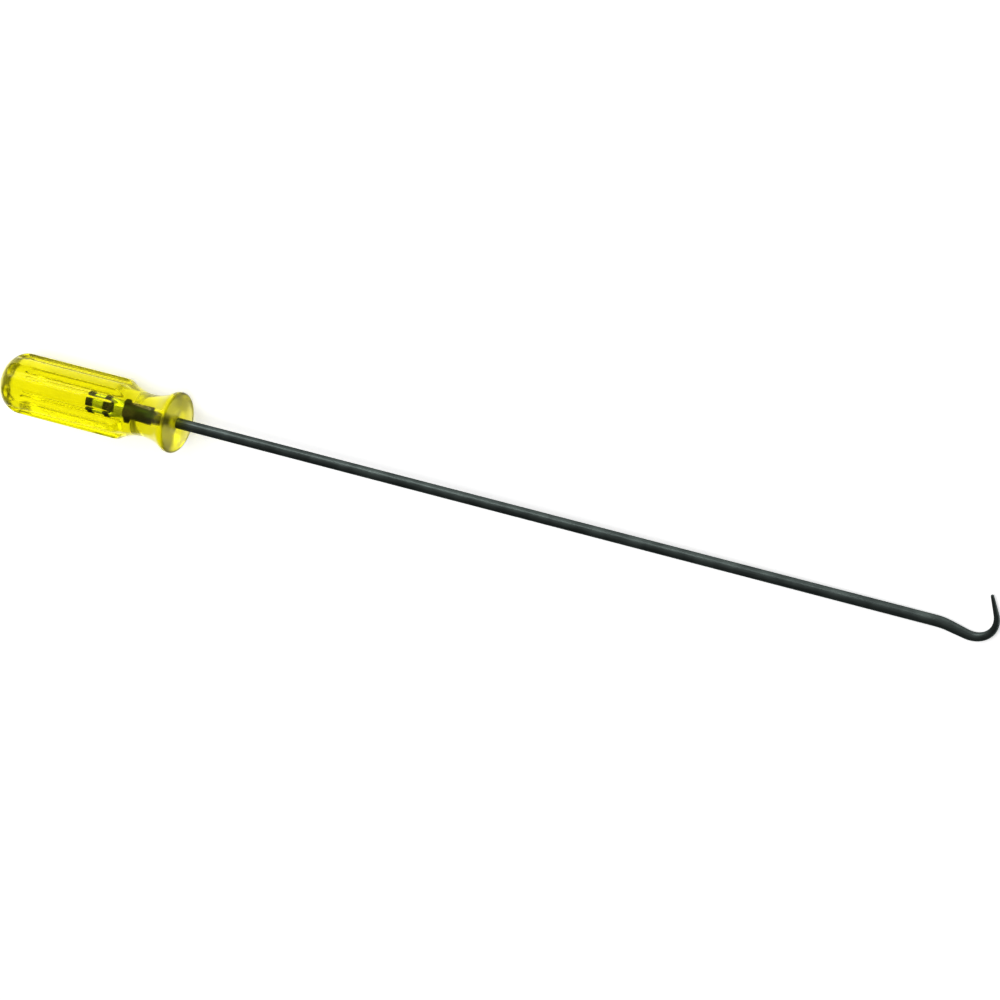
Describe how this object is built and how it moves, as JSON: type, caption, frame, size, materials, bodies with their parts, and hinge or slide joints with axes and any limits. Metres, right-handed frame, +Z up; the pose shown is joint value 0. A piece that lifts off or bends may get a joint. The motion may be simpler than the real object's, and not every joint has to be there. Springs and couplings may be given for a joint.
{
  "type": "o-ring pick",
  "caption": "Long O-ring pick: a tapered steel hook on a straight black shank, set by a winged tang in a fluted, see-through yellow handle.",
  "frame": {"origin": "middle of the tool's box on the bench it lies on", "axes": "+Z up; +X along the tool from the handle's butt to the hook; the hook lies flat with its tip towards +Y; the shank slopes down about 1.8 degrees from the handle's rim to the hook"},
  "size_m": [0.4734, 0.0324, 0.0293],
  "materials": {
    "clear_yellow_acetate": "moulded see-through cellulose acetate, polished",
    "black_oxide_steel": "drawn tool steel with a black oxide skin, lightly oiled"
  },
  "bodies": {
    "root": {"handle": "clear_yellow_acetate", "shank": "black_oxide_steel"}
  },
  "joints": []
}
